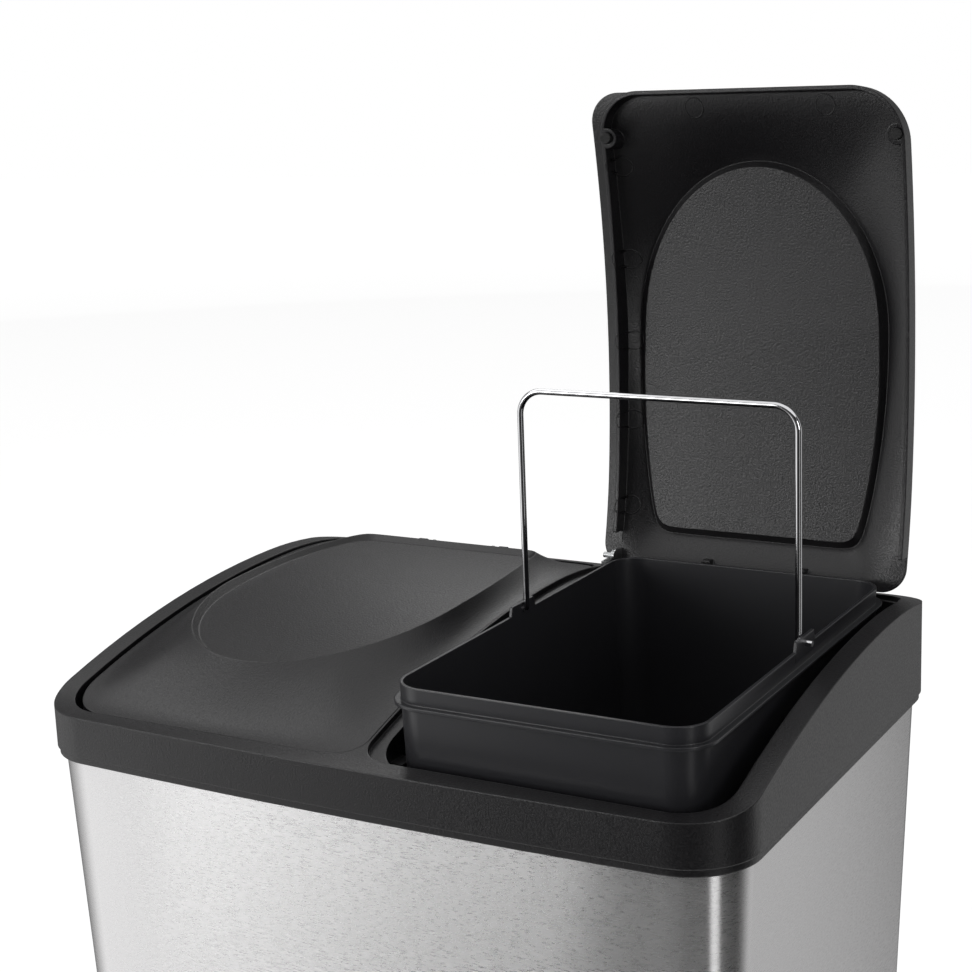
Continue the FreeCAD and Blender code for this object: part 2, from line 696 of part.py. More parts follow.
def above_side_curve(drop):
    """Everything above the S-curve lowered by drop, as a solid."""
    base, half_x = SIZES["rim_height"], 240.0
    far = SIZES["half_depth"] + 20.0
    count = 32
    points = [Vector(-half_x, -far + 2 * far * i / count, 0) for i in range(count + 1)]
    for point in points:
        point.z = base + side_curve(point.y, drop)
    curve = Part.BSplineCurve()
    curve.interpolate(points)
    top = base + 120.0
    rim = [points[-1], Vector(-half_x, far, top), Vector(-half_x, -far, top), points[0]]
    edges = [curve.toShape()]
    edges += [Part.LineSegment(a, b).toShape() for a, b in zip(rim, rim[1:])]
    return Part.Face(Part.Wire(edges)).extrude(Vector(2 * half_x, 0, 0))


def standing(face):
    """A face at Z = 0 raised into a tall block through the lid's levels."""
    block = face.extrude(Vector(0, 0, 180))
    block.translate(Vector(0, 0, SIZES["rim_height"] - 80))
    return block


def bumper_places():
    """Middle points of the two bumpers of the right lid."""
    front = -SIZES["bumper_front"]
    return [Vector(17.0, front, 0), Vector(SIZES["lid_outer"] - 4.9, front, 0)]


def bumper_top():
    """Level where the bumpers' stems end in the lid's bosses."""
    return SIZES["rim_height"] + side_curve(-SIZES["bumper_front"]) - 5.0


def lid_blank():
    """The right lid, closed: skirt, hollow flare, egg-shaped ridge and sunk panel."""
    base, wall, rear = SIZES["rim_height"], SIZES["lid_wall"], SIZES["lid_rear"]
    skirt_zone = standing(skirt_outline(0.0, rear)).common(
        box(0.0, 240.0, -200, 138.0, base - 80, base + 100))
    skirt_zone = skirt_zone.common(above_side_curve(SIZES["lid_skirt"]))
    cover_zone = standing(lid_outline()).common(above_side_curve(SIZES["lid_edge"]))
    form = lid_form()
    solid = cover_zone.fuse(skirt_zone).common(form)
    form.translate(Vector(0, 0, -wall))
    core = standing(skirt_outline(wall, rear)).common(form)
    bosses, holes = [], []
    for place in bumper_places():
        place.z = base - 30
        bosses.append(Part.makeCylinder(6.5, 80, place))
        holes.append(Part.makeCylinder(3.5, bumper_top() - place.z, place))
    posts = bosses[0].fuse(bosses[1]).common(core)
    posts = posts.common(above_side_curve(SIZES["lid_skirt"]))
    return solid.cut(core).fuse(posts).cut(holes)


def add_lid_hinge(solid):
    """Cut the hinge slot, and add the lugs that turn on the hinge pin."""
    axis_y, axis_z = SIZES["axis_back"], SIZES["rim_height"] + SIZES["axis_rise"]
    middle, half, lug = SIZES["hinge_middle"], SIZES["slot_half"], SIZES["lug_thickness"]
    slot = box(middle - half, middle + half, axis_y - 7, axis_y + 8, axis_z - 40, axis_z + 30)
    lugs = []
    for x0 in (middle - half - lug, middle + half):
        eye = rod_along_x(x0, x0 + lug, axis_y, axis_z, SIZES["lug_radius"])
        neck = box(x0, x0 + lug, axis_y - 11, axis_y - 1.6, axis_z - 8.0, axis_z - 0.5)
        lugs.append(eye.fuse(neck))
    bore = rod_along_x(middle - 60, middle + 60, axis_y, axis_z, SIZES["pin_radius"] + 0.05)
    return solid.cut(slot).fuse(lugs).cut(bore).removeSplitter()


def lid_placement(side):
    """The right lid stands open; the left one is closed."""
    if side < 0:
        return Placement()
    axis = Vector(0, SIZES["axis_back"], SIZES["rim_height"] + SIZES["axis_rise"])
    turn = Rotation(Vector(1, 0, 0), -SIZES["lid_opening"])
    return Placement(Vector(), turn, axis)


def make_lid_parts():
    """Both lids, their cranks and their bumpers."""
    blank = add_lid_hinge(lid_blank())
    axis_y, axis_z = SIZES["axis_back"], SIZES["rim_height"] + SIZES["axis_rise"]
    pin_y, pin_z = axis_y - SIZES["crank_back"], axis_z - SIZES["crank_drop"]
    eye = rod_along_x(13.2, 15.6, pin_y, pin_z, 3.4)
    web = box(13.2, 15.6, pin_y - 4.0, pin_y + 3.4, pin_z, axis_z - 0.5)
    pin = rod_along_x(6.9, 14.0, pin_y, pin_z, SIZES["crank_pin_radius"])
    crank = eye.fuse(web.common(standing(lid_outline(0.5)))).fuse(pin).removeSplitter()
    crank = crank.cut(blank)
    crank = max(crank.Solids, key=lambda solid: solid.Volume)
    front = -SIZES["bumper_front"]
    foot = SIZES["rim_height"] + side_curve(front) - SIZES["lid_skirt"] - 3.0
    stems = []
    for place in bumper_places():
        place.z = foot
        stems.append(Part.makeCylinder(3.5, bumper_top() - foot, place))
    bumpers = Part.Compound(stems)
    made = []
    for side in (-1, 1):
        for name, shape in (("lid", blank), ("lid_crank", crank), ("lid_bumpers", bumpers)):
            label = "%s_%s" % (side_name(side), name)
            made.append(feature(label, flipped(shape, side), lid_placement(side)))
    return made


def make_steel_shell():
    """The stainless wrap: one tapered tube, open at both ends."""
    body = new_body("steel_shell")
    draft = "-sizes.steel_draft * 1 deg"
    top = cell("shoulder_height") - 0.2
    length = top - cell("steel_bottom")
    outline = new_sketch(body, "steel_outline", "XY_Plane", top)
    draw_bowed_box(outline, cell("skirt_wall") + 0.3)
    pad(body, outline, length, "steel_block", reverse=True, taper=draft)
    inside = new_sketch(body, "steel_inside", "XY_Plane", top)
    draw_bowed_box(inside, cell("skirt_wall") + 0.3 + cell("steel_wall"))
    pocket(body, inside, length, "steel_hollow", taper=draft)
    return body


def make_bucket(side):
    """A lift-out bucket: drafted walls, rim, flange under the rim, tabs for the bail."""
    name = side_name(side) + "_bucket"
    body = new_body(name)
    draft = "-sizes.bucket_draft * 1 deg"
    rim = cell("bucket_rim")
    height = rim - cell("bucket_bottom")
    low, high = mirrored(side, cell("bucket_inner"), cell("bucket_outer"))
    front, rear = -cell("bucket_front"), cell("bucket_rear")
    corner, wall, reach = cell("bucket_corner"), cell("bucket_wall"), cell("flange_reach")
    outline = new_sketch(body, name + "_outline", "XY_Plane", rim)
    draw_rounded_box(outline, low, high, front, rear, (corner,) * 4)
    pad(body, outline, height, name + "_block", reverse=True, taper=draft)
    flange = new_sketch(body, name + "_flange", "XY_Plane", rim - cell("flange_drop") - 2.0)
    draw_rounded_box(flange, low - reach, high + reach, front - reach, rear + reach,
                     (corner + reach,) * 4)
    pad(body, flange, 2.0, name + "_flange_pad")
    middle = (low + high) * 0.5
    tab = new_sketch(body, name + "_tabs", "YZ_Plane", middle)
    back, half = cell("bail_back"), cell("tab_half")
    draw_polygon(tab, [(back - half, rim - 6.0), (back + half, rim - 6.0),
                       (back + half - 3.0, rim + cell("tab_rise")),
                       (back - half + 3.0, rim + cell("tab_rise"))])
    pad(body, tab, high - low, name + "_tab_pad", both=True)
    inside = new_sketch(body, name + "_inside", "XY_Plane", rim)
    draw_rounded_box(inside, low + wall, high - wall, front + wall, rear - wall,
                     (corner - wall,) * 4)
    pocket(body, inside, height - 2.5, name + "_hollow", taper=draft)
    gap = new_sketch(body, name + "_gap", "XY_Plane", rim)
    draw_rounded_box(gap, low + wall, high - wall, front + wall, rear - wall,
                     (corner - wall,) * 4)
    pocket(body, gap, cell("tab_rise") + 1.0, name + "_tab_gap", reverse=True)
    hole = new_sketch(body, name + "_pivot", "YZ_Plane", middle)
    draw_circle(hole, back, rim + 1.5, cell("wire_radius") + 0.05)
    pocket(body, hole, high - low + 20.0, name + "_pivot_holes", both=True)
    if side > 0:
        lift = Placement(Vector(0, 0, SIZES["bucket_lift"]), Rotation())
        body.Placement = lift
        body.setExpression("Placement.Base.z", cell("bucket_lift").text)
    return body


def make_bail(side):
    """A wire handle: bar, two bends, two legs and the ends that turn in the tabs."""
    name = side_name(side) + "_bail"
    body = new_body(name)
    middle = (cell("bucket_inner") + cell("bucket_outer")) * (0.5 * side)
    base = cell("bucket_rim") + 1.5
    span, bend, tuck = cell("bail_half_span"), cell("bail_bend"), as_size(2.5)
    top, out = base + cell("bail_height"), cell("bail_half_span") + 8.5
    path = new_sketch(body, name + "_path", "XZ_Plane", -cell("bail_back"))
    stops = [(middle - out, base), (middle - span - tuck, base),
             (middle - span, base + tuck), (middle - span, top - bend),
             (middle - span + bend, top), (middle + span - bend, top),
             (middle + span, top - bend), (middle + span, base + tuck),
             (middle + span + tuck, base), (middle + out, base)]
    spots = [Vector(x.number, z.number, 0) for x, z in stops]
    centres = {1: (middle - span - tuck, base + tuck, tuck, 270),
               3: (middle - span + bend, top - bend, bend, 90),
               5: (middle + span - bend, top - bend, bend, 0),
               7: (middle + span + tuck, base + tuck, tuck, 180)}
    for i in range(9):
        if i in centres:
            x, z, radius, start = centres[i]
            path.addGeometry(corner_arc(x.number, z.number, radius.number, start))
        else:
            path.addGeometry(Part.LineSegment(spots[i], spots[i + 1]))
    start_end = {1: (1, 2), 3: (2, 1), 5: (2, 1), 7: (1, 2)}
    for i in range(8):
        leave = start_end.get(i, (1, 2))[1]
        enter = start_end.get(i + 1, (1, 2))[0]
        path.addConstraint(Sketcher.Constraint("Tangent", i, leave, i + 1, enter))
    for i in (0, 4, 8):
        path.addConstraint(Sketcher.Constraint("Horizontal", i))
    for i in (2, 6):
        path.addConstraint(Sketcher.Constraint("Vertical", i))
    for i, (x, z, radius, start) in centres.items():
        dimension(path, Sketcher.Constraint("Radius", i, radius.number), radius)
    place_point(path, 0, 1, *stops[0])
    place_point(path, 2, 2, stops[3][0], None)
    place_point(path, 4, 1, None, stops[4][1])
    place_point(path, 6, 1, stops[6][0], None)
    place_point(path, 8, 2, *stops[9])
    ring = new_sketch(body, name + "_section", "YZ_Plane", middle - out)
    draw_circle(ring, cell("bail_back"), base, cell("wire_radius"))
    doc.recompute()
    pipe = body.newObject("PartDesign::AdditivePipe", name + "_wire")
    pipe.Profile = ring
    pipe.Spine = (path, ["Edge%d" % (i + 1) for i in range(9)])
    if side > 0:
        body.Placement = Placement(Vector(0, 0, SIZES["bucket_lift"]), Rotation())
    else:
        pivot = Vector(0, SIZES["bail_back"], base.number)
        fold = Rotation(Vector(1, 0, 0), SIZES["bail_fold"])
        body.Placement = Placement(Vector(), fold, pivot)
    return body


def make_hinge_bracket(side):
    """A pressed bracket: a plate on the frame's rear wall with two ears round the pin."""
    name = side_name(side) + "_hinge_bracket"
    body = new_body(name)
    axis_y, axis_z = cell("axis_back"), cell("rim_height") + cell("axis_rise")
    middle, half = cell("hinge_middle") * side, cell("slot_half") - 5.0
    plate = new_sketch(body, name + "_plate", "XZ_Plane", -axis_y + 1.2)
    draw_polygon(plate, [(middle - half, axis_z - 40.0), (middle + half, axis_z - 40.0),
                         (middle + half, axis_z - 6.0), (middle - half, axis_z - 6.0)])
    for shift in (-14.0, 14.0):
        draw_circle(plate, middle + shift, axis_z - 28.0, 2.1)
    pad(body, plate, 1.8, name + "_plate_pad")
    for end, low in (("a", middle - half), ("b", middle + half - 2.0)):
        ear = new_sketch(body, name + "_ear_" + end, "YZ_Plane", low)
        draw_polygon(ear, [(axis_y - 3.0, axis_z - 11.5), (axis_y + 4.0, axis_z - 11.5),
                           (axis_y + 4.0, axis_z + 2.0), (axis_y + 2.0, axis_z + 4.0),
                           (axis_y - 2.0, axis_z + 4.0), (axis_y - 3.0, axis_z + 2.0)])
        pad(body, ear, 2.0, name + "_ear_pad_" + end)
    bore = new_sketch(body, name + "_bore", "YZ_Plane", middle)
    draw_circle(bore, axis_y, axis_z, cell("pin_radius") + 0.02)
    pocket(body, bore, 120.0, name + "_bore_cut", both=True)
    return body


def make_hinge_pin(side):
    """The steel pin of one lid."""
    name = side_name(side) + "_hinge_pin"
    pin = doc.addObject("Part::Cylinder", name)
    pin.Label = name
    pin.setExpression("Radius", "sizes.pin_radius * 1 mm")
    pin.setExpression("Height", "2 * (sizes.slot_half + sizes.lug_thickness) * 1 mm")
    half = SIZES["slot_half"] + SIZES["lug_thickness"]
    base = Vector(side * SIZES["hinge_middle"] - half, SIZES["axis_back"],
                  SIZES["rim_height"] + SIZES["axis_rise"])
    pin.Placement = Placement(base, Rotation(Vector(0, 1, 0), 90))
    return pin


def make_hinge_screws():
    """Four pan-head screws that hold the two brackets."""
    z = SIZES["rim_height"] + SIZES["axis_rise"] - 28.0
    front = SIZES["axis_back"] - 3.0
    screws = []
    for side in (-1, 1):
        for shift in (-14.0, 14.0):
            spot = Vector(side * SIZES["hinge_middle"] + shift, front, z)
            head = Part.makeCone(3.8, 2.4, 2.2, spot, Vector(0, -1, 0))
            shank = Part.makeCylinder(2.0, 9.0, spot, Vector(0, 1, 0))
            slot = box(spot.x - 0.4, spot.x + 0.4, front - 3, front - 1.2, z - 2, z + 2)
            cross = box(spot.x - 2, spot.x + 2, front - 3, front - 1.2, z - 0.4, z + 0.4)
            screws.append(head.fuse(shank).cut([slot, cross]).removeSplitter())
    return feature("hinge_screws", Part.Compound(screws))


def steel_foot_inset():
    """How far the steel's lower edge is set in from the frame's outline."""
    drop = SIZES["shoulder_height"] - 0.2 - SIZES["steel_bottom"]
    number = SIZES["skirt_wall"] + 0.3 + drop * math.tan(math.radians(SIZES["steel_draft"]))
    text = ("((sizes.skirt_wall + 0.3 + (sizes.shoulder_height - 0.2 - sizes.steel_bottom)"
            " * tan(sizes.steel_draft * 1 deg)) * 1 mm)")
    return Size(number, text)


def make_base_tray():
    """The moulded base: ring, floor, tunnel over the pedal levers and slots in the front."""
    body = new_body("base_tray")
    inset = steel_foot_inset()
    bottom, floor = cell("base_bottom"), cell("base_floor")
    outline = new_sketch(body, "base_outline", "XY_Plane", bottom)
    draw_bowed_box(outline, inset - cell("base_margin"))
    pad(body, outline, cell("base_top") - bottom, "base_block")
    seat = new_sketch(body, "base_steel_seat", "XY_Plane", cell("base_top"))
    draw_bowed_box(seat, inset - 0.75)
    pocket(body, seat, cell("base_top") - cell("steel_bottom") + 0.2, "base_steel_step")
    hollow = new_sketch(body, "base_hollow", "XY_Plane", cell("steel_bottom"))
    draw_bowed_box(hollow, inset + 3.0)
    pocket(body, hollow, cell("steel_bottom") - floor, "base_hollow_cut")
    half = cell("tunnel_half")
    front, rear = -(cell("half_depth") - inset - 0.5), cell("half_depth") - inset - 0.5
    tunnel = new_sketch(body, "base_tunnel", "XY_Plane", bottom)
    draw_polygon(tunnel, [(-half, front + 2.0), (half, front + 2.0),
                          (half, rear - 2.0), (-half, rear - 2.0)])
    pad(body, tunnel, cell("tunnel_top") - bottom, "base_tunnel_block")
    bay = new_sketch(body, "base_tunnel_bay", "XY_Plane", bottom)
    draw_polygon(bay, [(2.5 - half, front + 4.0), (half - 2.5, front + 4.0),
                       (half - 2.5, rear - 1.0), (2.5 - half, rear - 1.0)])
    pocket(body, bay, cell("tunnel_top") - bottom - 2.5, "base_tunnel_hollow", reverse=True)
    slots = new_sketch(body, "base_lever_slots", "XZ_Plane", 120.0)
    reach = cell("lever_offset")
    for side in (-1, 1):
        low, high = mirrored(side, reach - 3.5, reach + 3.5)
        draw_polygon(slots, [(low, 6.5), (high, 6.5), (high, 49.6), (low, 49.6)])
    pocket(body, slots, 60.0, "base_lever_slot_cut", reverse=True)
    holes = new_sketch(body, "base_rod_holes", "XY_Plane", cell("tunnel_top"))
    for side in (-1, 1):
        draw_circle(holes, reach * side, cell("rod_back"), cell("rod_radius") + 0.6)
    pocket(body, holes, 6.0, "base_rod_hole_cut")
    axle = new_sketch(body, "base_axle_holes", "YZ_Plane")
    draw_circle(axle, 0, cell("pivot_height"), cell("axle_radius") + 0.02)
    pocket(body, axle, half * 2, "base_axle_hole_cut", both=True)
    return body


def make_feet():
    """Four rubber feet under the base's corners."""
    feet = []
    for x in (-172.0, 172.0):
        for y in (-112.0, 112.0):
            foot = Part.makeCone(SIZES["foot_radius"] - 1.0, SIZES["foot_radius"],
                                 SIZES["base_bottom"], Vector(x, y, 0))
            feet.append(foot)
    return feature("rubber_feet", Part.Compound(feet))


def make_axle():
    """The axle that both pedal levers turn on."""
    axle = doc.addObject("Part::Cylinder", "pedal_axle")
    axle.Label = "pedal_axle"
    axle.setExpression("Radius", "sizes.axle_radius * 1 mm")
    axle.setExpression("Height", "2 * sizes.tunnel_half * 1 mm")
    base = Vector(-SIZES["tunnel_half"], 0, SIZES["pivot_height"])
    axle.Placement = Placement(base, Rotation(Vector(0, 1, 0), 90))
    return axle


def pedal_placement(side):
    """The right pedal is down and the left one is up."""
    angle = SIZES["pedal_angle"] / 2 * side
    pivot = Vector(0, 0, SIZES["pivot_height"])
    return Placement(Vector(), Rotation(Vector(1, 0, 0), angle), pivot)


def make_lever(side):
    """A flat steel lever with its eye on the axle."""
    name = side_name(side) + "_pedal_lever"
    body = new_body(name)
    middle = cell("lever_offset") * side
    pivot, half = cell("pivot_height"), cell("lever_height") * 0.5
    bar = new_sketch(body, name + "_side", "YZ_Plane", middle)
    draw_polygon(bar, [(-cell("lever_front"), pivot - half), (cell("lever_rear"), pivot - half),
                       (cell("lever_rear"), pivot + half), (-cell("lever_front"), pivot + half)])
    pad(body, bar, cell("lever_thickness"), name + "_bar", both=True)
    eye = new_sketch(body, name + "_eye", "YZ_Plane", middle)
    draw_circle(eye, 0, pivot, 9.5)
    pad(body, eye, cell("lever_thickness") + 3.0, name + "_eye_pad", both=True)
    bore = new_sketch(body, name + "_bore", "YZ_Plane", middle)
    draw_circle(bore, 0, pivot, cell("axle_radius") + 0.05)
    pocket(body, bore, 20.0, name + "_bore_cut", both=True)
    body.Placement = pedal_placement(side)
    return body


def make_tread(side):
    """The moulded foot plate pressed onto the lever's front end."""
    name = side_name(side) + "_pedal"
    body = new_body(name)
    low, high = mirrored(side, cell("tread_inner"), cell("tread_outer"))
    front, rear = -cell("tread_front"), -cell("tread_rear")
    base = cell("pivot_height") - cell("tread_thickness") * 0.5 - 4.0
    plate = new_sketch(body, name + "_plate", "XY_Plane", base)
    draw_rounded_box(plate, low, high, front, rear, (9.0, 9.0, 3.0, 3.0))
    pad(body, plate, cell("tread_thickness") + 6.0, name + "_plate_pad")
    middle, half = cell("lever_offset") * side, cell("lever_thickness") * 0.5 + 0.02
    slot = new_sketch(body, name + "_slot", "XY_Plane", cell("pivot_height"))
    tip = -cell("lever_front") - 0.02
    draw_polygon(slot, [(middle - half, tip), (middle + half, tip),
                        (middle + half, -150.0), (middle - half, -150.0)])
    pocket(body, slot, cell("lever_height") + 0.04, name + "_slot_cut", both=True)
    body.Placement = pedal_placement(side)
    return body


def make_push_rod(side):
    """A push rod with a flat head under the lid's crank pin."""
    name = side_name(side) + "_push_rod"
    body = new_body(name)
    middle, back = cell("lever_offset") * side, cell("rod_back")
    foot = cell("rod_foot")
    axis = cell("rim_height") + cell("axis_rise")
    top = axis - cell("crank_drop") - cell("crank_pin_radius") - 1.3
    round_bar = new_sketch(body, name + "_section", "XY_Plane", foot)
    draw_circle(round_bar, middle, back, cell("rod_radius"))
    pad(body, round_bar, top - foot, name + "_bar")
    head = new_sketch(body, name + "_head", "XY_Plane", top - 6.0)
    draw_rounded_box(head, middle - 2.7, middle + 2.7, back - 3.0, 155.3,
                     (as_size(1.5),) * 4)
    pad(body, head, 6.0, name + "_head_pad")
    if side > 0:
        body.Placement = Placement(Vector(0, 0, SIZES["rod_travel"]), Rotation())
        body.setExpression("Placement.Base.z", cell("rod_travel").text)
    return body


def make_rod_cover():
    """A channel between the buckets that hides the push rods, open towards the rear wall."""
    body = new_body("rod_cover")
    foot, top = cell("tunnel_top"), cell("skirt_bottom") - 1.0
    outline = new_sketch(body, "cover_side", "YZ_Plane")
    draw_polygon(outline, [(134.0, foot), (150.2, foot), (165.4, top), (138.0, top)])
    pad(body, outline, 34.0, "cover_block", both=True)
    hollow = new_sketch(body, "cover_hollow", "YZ_Plane")
    draw_polygon(hollow, [(135.5, foot - 5.0), (156.2, foot - 5.0), (171.4, top + 5.0),
                          (139.5, top + 5.0)])
    pocket(body, hollow, 31.0, "cover_hollow_cut", both=True)
    return body


def write_parts(nodes):
    """Check every object, and write each node's shape in its place."""
    doc.recompute()
    for obj in doc.Objects:
        if "Invalid" in obj.State or "Error" in obj.State:
            raise RuntimeError("%s is not valid: %s" % (obj.Label, obj.State))
    os.makedirs("parts", exist_ok=True)
    for node in nodes:
        shape = node.Shape
        if shape.isNull() or not shape.isValid() or not shape.Solids:
            raise RuntimeError("%s has no sound shape" % node.Label)
        shape.exportStep("parts/%s.step" % node.Label)
        print("%s: %d solid(s), %.1f cm3" % (node.Label, len(shape.Solids), shape.Volume / 1000))


nodes = [make_top_frame(), make_steel_shell(), make_base_tray(), make_feet(), make_axle(),
         make_rod_cover(), make_hinge_screws()]
nodes += make_lid_parts()
for side in (-1, 1):
    makers = (make_hinge_bracket, make_hinge_pin, make_bucket, make_bail, make_lever,
              make_tread, make_push_rod)
    nodes += [make(side) for make in makers]
write_parts(nodes)
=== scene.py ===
import json
import math

import bmesh
import bpy
from mathutils import Matrix, Vector
from mathutils.bvhtree import BVHTree


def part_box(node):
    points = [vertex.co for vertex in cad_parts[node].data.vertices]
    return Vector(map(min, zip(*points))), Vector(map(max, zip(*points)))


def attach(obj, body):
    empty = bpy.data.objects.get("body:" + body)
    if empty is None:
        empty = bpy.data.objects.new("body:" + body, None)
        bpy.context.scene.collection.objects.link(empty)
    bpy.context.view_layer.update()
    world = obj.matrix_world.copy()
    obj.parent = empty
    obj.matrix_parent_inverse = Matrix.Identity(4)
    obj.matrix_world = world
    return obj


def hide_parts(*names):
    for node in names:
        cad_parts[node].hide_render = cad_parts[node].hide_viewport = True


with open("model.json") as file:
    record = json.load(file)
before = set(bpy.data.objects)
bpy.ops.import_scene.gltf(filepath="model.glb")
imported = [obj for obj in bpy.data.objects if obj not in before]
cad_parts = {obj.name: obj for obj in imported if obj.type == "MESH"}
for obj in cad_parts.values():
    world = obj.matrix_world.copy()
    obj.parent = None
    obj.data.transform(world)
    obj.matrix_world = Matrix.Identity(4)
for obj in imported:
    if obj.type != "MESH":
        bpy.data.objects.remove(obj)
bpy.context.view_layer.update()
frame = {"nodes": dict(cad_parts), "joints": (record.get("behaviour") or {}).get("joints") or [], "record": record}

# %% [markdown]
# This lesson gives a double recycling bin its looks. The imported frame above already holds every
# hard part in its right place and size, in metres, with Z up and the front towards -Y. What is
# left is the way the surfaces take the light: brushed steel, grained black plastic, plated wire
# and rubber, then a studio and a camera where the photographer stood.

MM = 0.001


def new_object(name, data):
    """An object of this scene that holds a mesh, a lamp or a camera."""
    item = bpy.data.objects.new(name, data)
    bpy.context.scene.collection.objects.link(item)
    return item


body_of = {node: body for body, group in frame["record"]["behaviour"]["bodies"].items()
           for node in group}
slot_of = {part["node"]: part["material_slot"] for part in frame["record"]["subparts"]}

# %% [markdown]
# The frame's meshes are loose triangles. A moulded dome made of loose triangles shows every facet,
# so each node is copied, its doubled points are merged, and its faces are shaded smooth, except
# across edges that are sharper than about 30 degrees. The copy stands for the node.

# %% Smooth copies of the hard parts
SHARP_ANGLE = math.radians(30)
SAME_POINT = 0.002 * MM         # points nearer than this are one point


def smooth_copy(node):
    """A merged and smooth-shaded copy that stands for a node of the frame."""
    mesh = frame["nodes"][node].data.copy()
    mesh.name = node + "_surface"
    shell = bmesh.new()
    shell.from_mesh(mesh)
    bmesh.ops.remove_doubles(shell, verts=shell.verts, dist=SAME_POINT)
    for face in shell.faces:
        face.smooth = True
    for edge in shell.edges:
        edge.smooth = len(edge.link_faces) == 2 and edge.calc_face_angle(0.0) < SHARP_ANGLE
    shell.to_mesh(mesh)
    shell.free()
    mesh.materials.clear()
    piece = new_object(node + "_piece", mesh)
    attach(piece, body_of[node])
    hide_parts(node)
    return piece


pieces = {node: smooth_copy(node) for node in body_of}
print("smooth pieces:", len(pieces))

# %% [markdown]
# A material is a tree of nodes, and a few helpers keep the trees short. `linear` turns a colour as
# a painter would pick it, an sRGB hex value, into the linear numbers that the renderer works with.
# `add_node` adds a node, sets its sockets and joins it to the nodes before it.

# %% Helpers for node trees


def linear(hex_colour):
    """An sRGB hex colour, by the standard's curve, as linear red, green, blue and alpha."""
    channels = [int(hex_colour[i:i + 2], 16) / 255 for i in (0, 2, 4)]
    return [c / 12.92 if c <= 0.04045 else ((c + 0.055) / 1.055) ** 2.4
            for c in channels] + [1.0]


def empty_tree(owner):
    """The node tree of a material or a world, with nothing in it."""
    owner.use_nodes = True
    owner.node_tree.nodes.clear()
    return owner.node_tree


def set_inputs(tree, node, inputs):
    """Give each socket its value, or join it to another node's output."""
    for name, value in inputs.items():
        if isinstance(value, bpy.types.NodeSocket):
            tree.links.new(value, node.inputs[name])
        else:
            node.inputs[name].default_value = value


def add_node(tree, kind, inputs=None, **settings):
    """A new node. Its sockets go by name, or by number where several share a name."""
    node = tree.nodes.new(kind)
    for name, value in settings.items():
        setattr(node, name, value)
    set_inputs(tree, node, inputs or {})
    return node


print("middle grey in linear numbers:", linear("808080"))

# %% [markdown]
# Every finish here has the same three things: a cloudy pattern, a colour that follows it and a
# roughness that follows it. No real surface is as even as a single number would make it.

# %% Helpers for finishes
NOISE_RANGE = (0.3, 0.7)        # nearly all of a noise pattern's values lie in it


def noise(tree, place, scale, detail=3.0, roughness=0.5):
    """A cloudy pattern of grey values at this place in the object."""
    texture = add_node(tree, "ShaderNodeTexNoise", {
        "Vector": place, "Scale": scale, "Detail": detail, "Roughness": roughness})
    return texture.outputs["Fac"]


def noise_scale(size):
    """The scale at which a light or dark patch of the pattern is about this size."""
    return 1 / (2 * size)


def tinted(tree, pattern, dark, light):
    """A colour between two hex values. A Mix node's colours are its sockets 6 and 7."""
    mix = add_node(tree, "ShaderNodeMix", {
        0: pattern, 6: linear(dark), 7: linear(light)}, data_type="RGBA")
    return mix.outputs[2]


def remapped(tree, value, source, target):
    """The value, spread from the source range over the target range."""
    spread = add_node(tree, "ShaderNodeMapRange", {
        "Value": value, "From Min": source[0], "From Max": source[1],
        "To Min": target[0], "To Max": target[1]})
    return spread.outputs["Result"]


def new_material(name):
    """An empty material, its tree, its shader and its object coordinates."""
    material = bpy.data.materials.new(name)
    tree = empty_tree(material)
    shader = add_node(tree, "ShaderNodeBsdfPrincipled")
    add_node(tree, "ShaderNodeOutputMaterial", {"Surface": shader.outputs["BSDF"]})
    place = add_node(tree, "ShaderNodeTexCoord").outputs["Object"]
    return material, tree, shader, place


print("patches of half a millimetre need the scale", noise_scale(0.5 * MM))

# %% [markdown]
# The body is stainless steel sheet, brushed along its length with a fine belt. The belt leaves
# thousands of level scratches, a few millimetres long and a few hundredths of a millimetre wide.
# They blur each reflection up and down far more than sideways, so a lamp shows as a tall band. In
# the shader the blur lies along the tangent, which runs level round the body, so it is turned by
# a quarter. A picture of brushed metal would hold for one view only, and this holds for all. The
# streaks that show are drawn wider than the scratches, a third of a millimetre.

# %% Brushed stainless steel
STREAK_LENGTH = 2.5 * MM
STREAK_WIDTH = 0.35 * MM
STREAK_DEPTH = 0.02 * MM
QUARTER_TURN = 0.25             # the rotation socket counts whole turns


def brushed_steel():
    """Stainless sheet with level brush marks that run round the body."""
    material, tree, shader, place = new_material("brushed_stainless_steel")
    along = noise_scale(STREAK_LENGTH)
    stretch = add_node(tree, "ShaderNodeMapping", {
        "Vector": place, "Scale": (along, along, noise_scale(STREAK_WIDTH))})
    streaks = noise(tree, stretch.outputs["Vector"], 1.0, roughness=0.6)
    bump = add_node(tree, "ShaderNodeBump", {
        "Height": streaks, "Strength": 0.15, "Distance": STREAK_DEPTH})
    around = add_node(tree, "ShaderNodeTangent", direction_type="RADIAL", axis="Z")
    set_inputs(tree, shader, {
        "Base Color": tinted(tree, streaks, "BEBDBE", "DCDBDB"),
        "Roughness": remapped(tree, streaks, NOISE_RANGE, (0.25, 0.32)),
        "Normal": bump.outputs["Normal"],
        "Tangent": around.outputs["Tangent"],
        "Metallic": 1.0,
        "Anisotropic": 1.0,
        "Anisotropic Rotation": QUARTER_TURN})
    return material


steel = brushed_steel()
print("made", steel.name)

